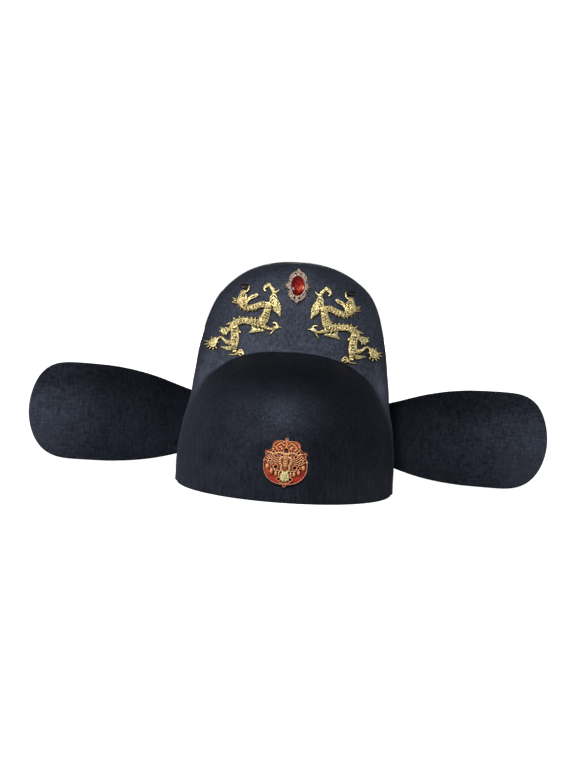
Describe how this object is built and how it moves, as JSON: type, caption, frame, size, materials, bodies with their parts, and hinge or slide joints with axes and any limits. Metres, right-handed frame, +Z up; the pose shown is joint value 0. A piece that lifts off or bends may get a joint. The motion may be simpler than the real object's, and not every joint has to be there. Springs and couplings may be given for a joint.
{
  "type": "chinese official's felt hat with side wings",
  "caption": "Stiff felt official's hat: round front dome, raised back, two flat paddle wings, cast dragons, a set red stone and a round brooch.",
  "frame": {"origin": "middle of the bounding box's bottom, in the plane of the rim", "axes": "+X along the wings to the right as seen from the front, +Z up through the raised back, the front with the brooch faces -Y"},
  "size_m": [0.418, 0.2088, 0.176],
  "materials": {
    "felt": "matte blue-black felt with fine fibres",
    "gold": "pale satin gold plating over cast relief",
    "setting_metal": "pinkish silvery plating, worn",
    "red_glass": "clear red, faceted and polished",
    "enamelled_gold": "gold relief with red enamel in its hollows"
  },
  "bodies": {
    "root": {"crown": "felt", "wing_right": "felt", "wing_left": "felt", "wing_keeper": "felt", "dragon_left": "gold", "dragon_right": "gold", "jewel_setting": "setting_metal", "red_stone": "red_glass", "medallion": "enamelled_gold"}
  },
  "joints": []
}
